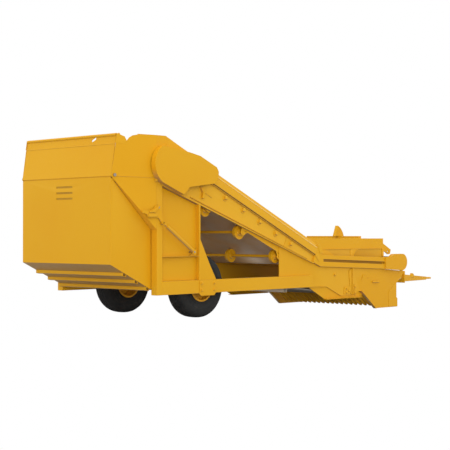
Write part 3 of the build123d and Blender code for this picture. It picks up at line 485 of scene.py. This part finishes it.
# The upper wall has a slanted drain slot near its right-hand end, just under the tube.
upper_wall = dressed("hopper_rear_wall", side_enamel, 0.0015)
SLOT_ACROSS, SLOT_HEIGHT = -0.470, 2.332
SLOT_TURN = math.radians(24.0)
SLOT_HALF_RUN = 0.028
SLOT_END_RADIUS = 0.015
drain_slot = []
for end, start_turn in ((SLOT_HALF_RUN, -math.pi / 2), (-SLOT_HALF_RUN, math.pi / 2)):
    for k in range(9):
        a = start_turn + math.pi * k / 8
        along, up = end + SLOT_END_RADIUS * math.cos(a), SLOT_END_RADIUS * math.sin(a)
        drain_slot.append(
            (SLOT_ACROSS - along * math.cos(SLOT_TURN) + up * math.sin(SLOT_TURN),
             SLOT_HEIGHT + along * math.sin(SLOT_TURN) + up * math.cos(SLOT_TURN)))
cut_through(upper_wall, drain_slot, 0.02, 0.16, side_on=False)
CREASE = 1.866
LEAN = math.tan(math.radians(9.8))


def on_rear_wall(across, height, proud=0.0):
    """A point on the leaning upper wall's outer face, or a little proud of it."""
    return at((height - CREASE) * LEAN - proud, across, height)


SWAGE_HALF, SWAGE_LOW, SWAGE_HIGH, SWAGE_RISE = 0.872, 2.262, 2.276, 0.0035
build = bmesh.new()
corners = [build.verts.new(on_rear_wall(across, height, proud))
           for proud in (0.0, SWAGE_RISE)
           for across, height in ((-SWAGE_HALF, SWAGE_LOW), (SWAGE_HALF, SWAGE_LOW),
                                  (SWAGE_HALF, SWAGE_HIGH), (-SWAGE_HALF, SWAGE_HIGH))]
for loop in ((0, 1, 2, 3), (4, 5, 6, 7), (0, 1, 5, 4), (1, 2, 6, 5), (2, 3, 7, 6), (3, 0, 4, 7)):
    build.faces.new([corners[k] for k in loop])
bmesh.ops.recalc_face_normals(build, faces=build.faces)
set_piece("rear_wall_swage", mesh_of("rear_wall_swage", build), yellow_enamel, "chassis",
          0.0015)
for label, side in SIDES:
    weld_bead(f"hopper_crease_{label}",
              [at(0.020, side * 0.8915, CREASE), at(0.668, side * 0.9865, CREASE)], 0.007)
    bolt_row(f"hopper_stud_{label}", [at(0.659, side * 0.9853, 1.835)], (0, side, 0), 0.030)
    side_strip(f"hopper_shoulder_{label}",
               [(0.851, 2.385), (1.246, 2.207), (1.246, 2.120), (0.851, 2.270)],
               FRAME_FACE - 0.003, 0.006, side)
    side_strip(f"chute_lug_{label}", [(0.729, 1.822), (0.805, 1.806), (0.805, 1.782),
                                      (0.760, 1.770), (0.729, 1.790)],
               FRAME_FACE, 0.012, side)

# ---------------------------------------------------------------- gate
# The tipping shell: a rear wall with three slots, two cheeks, and a sloping floor on three
# pressed ribs. It is folded from painted sheet and seam-welded at the corners.
dressed("gate_shell", yellow_enamel, 0.004)
dressed("gate_floor_ribs", yellow_enamel, 0.004)
slot_shade = enamel("slot_shade", (0.36, 0.165, 0.012), (0.30, 0.13, 0.010), 0.5, 0.0)
# A dark sheet inside the rear wall, behind the slots, paints the shade seen through them.
build = bmesh.new()
bmesh.ops.create_grid(build, x_segments=2, y_segments=2, size=0.5,
                      matrix=Matrix.Translation(at(0.0075, 0, 1.676))
                      @ Matrix.Rotation(math.pi / 2, 4, "Y")
                      @ Matrix.Diagonal((0.24, 0.40, 1.0, 1.0)))
bmesh.ops.solidify(build, geom=build.faces[:], thickness=0.002)
set_piece("gate_slot_shade_sheet", mesh_of("gate_slot_shade_sheet", build), slot_shade, "gate",
          0)
GATE_HALF = 0.8735
GATE_FOOT, GATE_HEAD = 0.786, 1.836
for label, side in SIDES:
    weld_bead(f"gate_corner_weld_{label}",
              [at(0.005, side * GATE_HALF, GATE_FOOT), at(0.005, side * GATE_HALF, GATE_HEAD)],
              0.006, body="gate")

# ---------------------------------------------------------------- drive covers
# A guard in the shape of a dog bone over the head drum's drive, on each side. It is pressed
# from one painted sheet, with a generous radius round its rim.
for node in both("drive_cover"):
    dressed(node, yellow_enamel, 0.010)

# ---------------------------------------------------------------- apron belt
# A smooth rubber belt with cloth plies, in four runs and the wraps round the drums. Its load
# side is dark with soil. Its inside is a paler, warmer brown, which is painted light and a
# painted yellow reflection on runs that lie in shade.
BELT_INSIDE_LIT = (0.50, 0.30, 0.130)
BELT_INSIDE_LIT_WORN = (0.46, 0.36, 0.26)
LOAD_SIDE = (0.20, 0.155, 0.110)
LOAD_SIDE_WORN = (0.245, 0.205, 0.160)


def belting(name, base, worn):
    """Belt rubber: a soiled tone that drifts, a patchy sheen and a fine cloth grain."""
    rubber = bpy.data.materials.new(name)
    rubber.use_nodes = True
    tree = rubber.node_tree
    shader = tree.nodes["Principled BSDF"]
    place = tree.nodes.new("ShaderNodeTexCoord")
    colour = two_tone(tree, place, 1.6, 6.0, base, worn)
    join_nodes(tree, colour, "Color", shader, "Base Color")
    sheen = tree.nodes.new("ShaderNodeTexNoise")
    sheen.inputs["Scale"].default_value = 5.0
    join_nodes(tree, place, "Object", sheen, "Vector")
    gloss = spread(tree, sheen, "Fac", 0.3, 0.7, 0.42, 0.62)
    join_nodes(tree, gloss, "Result", shader, "Roughness")
    grain_bump(tree, place, shader, 160.0, 0.12, 0.002)
    return rubber


# The inside's paler, warmer brown is painted light and painted yellow reflection.
belt_inside_lit = belting("belt_inside_lit", BELT_INSIDE_LIT, BELT_INSIDE_LIT_WORN)
belt_load_side = belting("belt_load_side", LOAD_SIDE, LOAD_SIDE_WORN)
for node in ("apron_front_return", "apron_incline_return"):
    dressed(node, belt_inside_lit, 0.002)
for node in ("apron_front_carrying", "apron_incline_carrying", "apron_end_wraps"):
    dressed(node, belt_load_side, 0.002)

# ---------------------------------------------------------------- drums, idlers and hangers
# Turned steel drums, and idler discs on through shafts with domed hubs. The idlers hang under
# the webs in bored plates, and everything that turns is painted with the frame.
for node in ("head_drum", "nose_drum", "return_idler_1", "return_idler_2", "return_idler_3",
             *both("idler_hangers")):
    dressed(node, yellow_enamel, 0.005)
DISC_PLACES = (-0.845, 0.0, 0.845)
HUB_FOOT, HUB_HEAD, HUB_HEIGHT, HUB_OUT = 0.052, 0.040, 0.016, 0.031
for number in (1, 2, 3):
    low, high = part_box(f"return_idler_{number}")
    middle = (low + high) / 2
    hub_build = bmesh.new()
    for across in DISC_PLACES:
        for side in (-1, 1):
            bmesh.ops.create_cone(
                hub_build, cap_ends=True, segments=32, radius1=HUB_FOOT, radius2=HUB_HEAD,
                depth=HUB_HEIGHT,
                matrix=Matrix.Translation((middle.x, across + side * HUB_OUT, middle.z))
                @ Matrix.Rotation(-side * math.pi / 2, 4, "X"))
    set_piece(f"idler_hubs_{number}", mesh_of(f"idler_hubs_{number}", hub_build),
              yellow_enamel, f"idler_{number}", 0.002)

# ---------------------------------------------------------------- bearings and motor
# Cast flange bearings on both drums, and a cast hydraulic motor under the right-hand cover.
# They are left in their own dark, sandy skin, with no paint.
cast_iron = bpy.data.materials.new("cast_iron")
cast_iron.use_nodes = True
tree = cast_iron.node_tree
place = tree.nodes.new("ShaderNodeTexCoord")
iron_colour = two_tone(tree, place, 22.0, 8.0, (0.13, 0.13, 0.14), (0.22, 0.20, 0.18))
join_nodes(tree, iron_colour, "Color", tree.nodes["Principled BSDF"], "Base Color")
tree.nodes["Principled BSDF"].inputs["Metallic"].default_value = 0.6
iron_gloss = spread(tree, iron_colour, "Color", 0.1, 0.3, 0.55, 0.75)
join_nodes(tree, iron_gloss, "Result", tree.nodes["Principled BSDF"], "Roughness")
grain_bump(tree, place, tree.nodes["Principled BSDF"], 240.0, 0.3, 0.003)
for node in ("drum_bearings", "drive_motor"):
    dressed(node, cast_iron)

# ---------------------------------------------------------------- front section
# Near-level slotted rails carry the nose of the belt. Round-ended covers close the nose drum,
# and boxed side beams stand over the rails with pressed windows in their skirts.
for node in (*both("front_rails"), *both("nose_cover"), *both("front_side_beam"),
             "front_cross_beam", "marker_pylon"):
    dressed(node, yellow_enamel, 0.004)
# A darker yellow for the windows' recesses, as painted shade.
window_shade = enamel("window_shade", (0.60, 0.285, 0.010), (0.56, 0.260, 0.009), 0.5, 0.0)
BEAM_FACE = 0.905
for label, side in SIDES:
    # Dark strips at the floor of each rail's slot paint the shade inside it.
    side_strip(f"rail_slot_shade_floor_{label}",
               [(4.047, 0.7845), (5.560, 0.7225), (5.560, 0.6860), (4.047, 0.7485)],
               WEB_FACE, 0.004, side, paint=slot_shade)
    side_strip(f"rail_bend_facet_{label}",
               [(3.852, 0.848), (3.905, 0.868), (3.965, 0.798), (3.925, 0.752)],
               FRAME_FACE, 0.006, side, edge=0.003)
    side_strip(f"rail_bend_cap_{label}",
               [(3.905, 1.018), (3.985, 0.985), (4.030, 0.885), (3.960, 0.868)],
               FRAME_FACE, 0.006, side, edge=0.003)
    side_strip(f"beam_brace_{label}",
               [(4.146, 0.9285), (4.165, 0.9285), (4.375, 0.845), (4.356, 0.842)],
               BEAM_FACE - 0.010, 0.012, side)
    side_strip(f"beam_lower_lip_{label}",
               [(3.800, 0.924), (5.655, 0.924), (5.655, 0.932), (3.800, 0.932)],
               BEAM_FACE, 0.012, side)
    corner_arc = [(5.030 - 0.145 * math.cos(a), 0.790 + 0.134 * math.sin(a))
                  for a in (math.pi / 2 * k / 10 for k in range(11))]
    side_strip(f"beam_window_post_{label}",
               [(4.800, 0.790), (4.800, 0.924), (5.030, 0.924), *corner_arc[::-1]],
               BEAM_FACE - 0.006, 0.014, side)
    # Two thin plates in the darker yellow lie in each window's recess as painted shade.
    side_strip(f"beam_window_shade_rear_{label}",
               [(4.395, 0.800), (4.395, 0.836), (4.190, 0.924), (4.800, 0.924), (4.800, 0.800)],
               BEAM_FACE - 0.003, 0.004, side, paint=window_shade, edge=0)
    side_strip(f"beam_window_shade_front_{label}",
               [(4.885, 0.800), *corner_arc, (5.614, 0.924), (5.614, 0.800)],
               BEAM_FACE - 0.003, 0.004, side, paint=window_shade, edge=0)
    side_strip(f"beam_window_corner_{label}",
               [(3.950, 0.800), (3.950, 0.924), (4.190, 0.924), (4.395, 0.836), (4.395, 0.800)],
               BEAM_FACE - 0.006, 0.014, side)
    side_strip(f"beam_end_post_{label}",
               [(5.614, 0.800), (5.660, 0.795), (5.660, 0.930), (5.614, 0.930)],
               BEAM_FACE, 0.014, side)

# ---------------------------------------------------------------- comb side plates
# Plates that carry the comb at each side, cut from painted steel. Each has a welded fold, a
# bolted adjuster, a step, a skid doubler and a bent leading edge.
for node in both("front_side_plate"):
    dressed(node, yellow_enamel)
for label, side in SIDES:
    bolt_row(f"adjuster_bolts_{label}",
             [at(s, side * WEB_FACE, h) for s, h in
              ((4.355, 0.551), (4.640, 0.335), (4.640, 0.275), (4.700, 0.300), (4.856, 0.356),
               (4.856, 0.262))], (0, side, 0), 0.030)
    side_strip(f"adjuster_plate_{label}",
               [(4.575, 0.250), (4.735, 0.240), (4.745, 0.345), (4.690, 0.385), (4.585, 0.360)],
               WEB_FACE, 0.008, side)
    side_strip(f"adjuster_slide_{label}",
               [(4.832, 0.238), (4.884, 0.236), (4.884, 0.392), (4.832, 0.395)],
               WEB_FACE, 0.010, side)
    side_strip(f"plate_fold_{label}",
               [(4.700, 0.600), (4.772, 0.640), (4.772, 0.245), (4.745, 0.245)],
               WEB_FACE, 0.010, side, edge=0.003)
    side_strip(f"plate_stay_{label}",
               [(5.015, 0.440), (5.030, 0.440), (5.086, 0.545), (5.071, 0.545)],
               WEB_FACE, 0.008, side)
    side_strip(f"step_bar_{label}",
               [(5.300, 0.402), (5.470, 0.398), (5.470, 0.424), (5.300, 0.428)],
               WEB_FACE, 0.026, side, edge=0.008)
    bolt_row(f"step_bolts_{label}",
             [at(s, side * WEB_FACE, h) for s, h in ((5.119, 0.526), (5.186, 0.481))],
             (0, side, 0), 0.012)
    side_strip(f"leading_edge_{label}",
               [(5.744, 0.247), (5.942, 0.383), (5.9555, 0.366), (5.9555, 0.148),
                (5.983, 0.132), (5.983, 0.004), (5.744, 0.004)],
               WEB_FACE, 0.005, side)
    side_strip(f"skid_doubler_{label}",
               [(3.745, 0.380), (4.143, 0.386), (4.150, 0.377), (3.752, 0.371)],
               WEB_FACE, 0.010, side)
    weld_bead(f"skid_weld_{label}",
              [at(4.143, side * (WEB_FACE + 0.001), 0.384),
               at(4.505, side * (WEB_FACE + 0.001), 0.232)], 0.008)

# ---------------------------------------------------------------- comb and belly pan
# Nineteen cast tines with rounded undersides and spear points, bolted to a boxed beam. A
# smooth pan drops to them from the frame, in a grey-brown that is painted shade on its
# underside.
dressed("comb_beam", yellow_enamel)
dressed("belly_pan", enamel("pan_shade_enamel", (0.58, 0.54, 0.47), (0.52, 0.47, 0.40), 0.5, 0.0))
# The tines take a paler copy of the yellow: painted light on faces that look down into shade.
comb_lit_enamel = enamel("comb_lit_enamel", (0.92, 0.49, 0.030), (0.80, 0.41, 0.022), 0.38, 0.0)
TINE_COUNT = 19
TINE_PITCH = 0.0927
TINE_HALF = 0.041
TINE_DEPTH = 0.046
TINE_FACETS = 12
COMB_BACK = at(4.935, 0, 0.345)
COMB_POINT = at(5.425, 0, 0.004)
lie = (COMB_POINT - COMB_BACK).normalized()
rise = Vector((-lie.z, 0, lie.x))
tine_length = (COMB_POINT - COMB_BACK).length
tine_build = bmesh.new()
stations = [(0.0, 1.0, 1.0), (0.10, 1.0, 1.0), (0.80, 1.0, 1.0), (0.87, 0.82, 0.92),
            (0.93, 0.56, 0.76), (0.975, 0.28, 0.52), (0.999, 0.05, 0.22)]
for number in range(TINE_COUNT):
    middle = (number - (TINE_COUNT - 1) / 2) * TINE_PITCH
    rings = []
    for share, wide, deep in stations:
        ring = []
        for k in range(TINE_FACETS + 1):
            a = math.pi * k / TINE_FACETS
            ring.append((math.cos(a) * TINE_HALF * wide,
                         TINE_DEPTH * (1 - math.sin(a) ** 0.8 * deep)))
        rings.append([tine_build.verts.new(COMB_BACK + lie * (tine_length * share)
                                           + Vector((0, middle + across, 0)) + rise * up)
                      for across, up in ring])
    for first, second in zip(rings, rings[1:]):
        for k in range(TINE_FACETS):
            tine_build.faces.new((first[k], first[k + 1], second[k + 1], second[k]))
        tine_build.faces.new((first[-1], first[0], second[0], second[-1]))
    tine_build.faces.new(rings[0])
    tine_build.faces.new(rings[-1][::-1])
bmesh.ops.recalc_face_normals(tine_build, faces=tine_build.faces)
tine_piece = set_piece("comb_tines_cast", mesh_of("comb_tines_cast", tine_build),
                       comb_lit_enamel, "chassis", 0)
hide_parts("comb_tines")

# ---------------------------------------------------------------- drawbar
# An A-frame of box section that closes on a tapered tongue with a bored eye plate. Lugs on
# the end plate take the hydraulic lines' clamps.
dressed("drawbar", yellow_enamel, 0.004)
dressed("hitch_plate", yellow_enamel, 0.004)
bolt_row("tongue_bolts", [at(7.234, y, z) for y in (-0.205, 0.205) for z in (0.350, 0.490)],
         (1, 0, 0), 0.030)
for label, side in SIDES:
    side_strip(f"tongue_clamp_{label}",
               [(7.56, 0.405), (7.66, 0.405), (7.65, 0.450), (7.62, 0.470), (7.58, 0.470)],
               0.122, 0.030, side)

# ---------------------------------------------------------------- wheels
# Smooth-shouldered implement tyres on pressed rims. Three shallow grooves run round the crown,
# and the side wall steps down to the bead in two rings.
tyre_rubber = bpy.data.materials.new("tyre_rubber")
tyre_rubber.use_nodes = True
tree = tyre_rubber.node_tree
place = tree.nodes.new("ShaderNodeTexCoord")
rubber_colour = two_tone(tree, place, 7.0, 7.0, (0.0150, 0.0150, 0.0145), (0.024, 0.023, 0.021))
join_nodes(tree, rubber_colour, "Color", tree.nodes["Principled BSDF"], "Base Color")
rubber_sheen = tree.nodes.new("ShaderNodeTexNoise")
rubber_sheen.inputs["Scale"].default_value = 18.0
join_nodes(tree, place, "Object", rubber_sheen, "Vector")
rubber_gloss = spread(tree, rubber_sheen, "Fac", 0.3, 0.7, 0.55, 0.72)
join_nodes(tree, rubber_gloss, "Result", tree.nodes["Principled BSDF"], "Roughness")
tree.nodes["Principled BSDF"].inputs["Specular IOR Level"].default_value = 0.25
grain_bump(tree, place, tree.nodes["Principled BSDF"], 200.0, 0.15, 0.002)
rim_enamel = enamel("rim_enamel", (0.72, 0.36, 0.016), (0.62, 0.29, 0.014), 0.42, 0.2)
half_profile = [(0.000, 0.4225), (0.018, 0.4225), (0.021, 0.4165), (0.029, 0.4165),
                (0.032, 0.4220), (0.060, 0.4205), (0.063, 0.4145), (0.071, 0.4140),
                (0.074, 0.4190), (0.096, 0.4145), (0.112, 0.4070), (0.124, 0.3960),
                (0.133, 0.3800), (0.139, 0.3600), (0.1425, 0.3350), (0.1425, 0.3080),
                (0.1390, 0.3040), (0.1375, 0.2780), (0.1325, 0.2500), (0.1300, 0.2470),
                (0.1250, 0.2240), (0.1180, 0.2050), (0.1130, 0.1985)]
profile = [(-across, radius) for across, radius in reversed(half_profile[1:])] + half_profile
TYRE_FACETS = 120
for label, side in SIDES:
    low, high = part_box(f"tyre_{label}")
    middle = (low + high) / 2
    tyre_build = bmesh.new()
    rings = [[tyre_build.verts.new((middle.x + math.cos(a) * radius, middle.y + across,
                                    middle.z + math.sin(a) * radius))
              for across, radius in profile]
             for a in (2 * math.pi * k / TYRE_FACETS for k in range(TYRE_FACETS))]
    width = len(profile)
    for k in range(TYRE_FACETS):
        first, second = rings[k], rings[(k + 1) % TYRE_FACETS]
        for j in range(width - 1):
            tyre_build.faces.new((first[j], first[j + 1], second[j + 1], second[j]))
        tyre_build.faces.new((first[-1], first[0], second[0], second[-1]))
    bmesh.ops.recalc_face_normals(tyre_build, faces=tyre_build.faces)
    tyre_piece = set_piece(f"tyre_moulded_{label}",
                           mesh_of(f"tyre_moulded_{label}", tyre_build), tyre_rubber,
                           f"wheel_{label}", 0)
    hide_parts(f"tyre_{label}")
    dressed(f"wheel_rim_{label}", rim_enamel, 0.002)

# ---------------------------------------------------------------- latch and hinge pins
# A cranked latch plate on each post, with a turned-out tab, worked by a small painted
# cylinder. The gate hangs on two pins of bare steel.
for node in (*both("latch_crank"), *both("latch_barrel"), *both("latch_rod")):
    dressed(node, yellow_enamel, 0.0025)
bare_steel = bpy.data.materials.new("bare_steel")
bare_steel.use_nodes = True
tree = bare_steel.node_tree
place = tree.nodes.new("ShaderNodeTexCoord")
steel_colour = two_tone(tree, place, 30.0, 6.0, (0.50, 0.48, 0.45), (0.34, 0.30, 0.26))
join_nodes(tree, steel_colour, "Color", tree.nodes["Principled BSDF"], "Base Color")
tree.nodes["Principled BSDF"].inputs["Metallic"].default_value = 1.0
steel_gloss = spread(tree, steel_colour, "Color", 0.2, 0.6, 0.50, 0.30)
join_nodes(tree, steel_gloss, "Result", tree.nodes["Principled BSDF"], "Roughness")
grain_bump(tree, place, tree.nodes["Principled BSDF"], 300.0, 0.1, 0.001)
dressed("hinge_pins", bare_steel, 0.0015)
CRANK_FACE = FRAME_FACE + 0.018
for label, side in SIDES:
    side_strip(f"latch_tab_{label}",
               [(0.526, 1.440), (0.612, 1.468), (0.672, 1.512), (0.684, 1.490), (0.622, 1.428),
                (0.520, 1.425)],
               CRANK_FACE, 0.016, side, body=f"crank_{label}", edge=0.003)
    side_strip(f"latch_block_{label}",
               [(0.514, 1.412), (0.650, 1.416), (0.668, 1.372), (0.520, 1.370)],
               CRANK_FACE, 0.010, side, body=f"crank_{label}", edge=0.003)
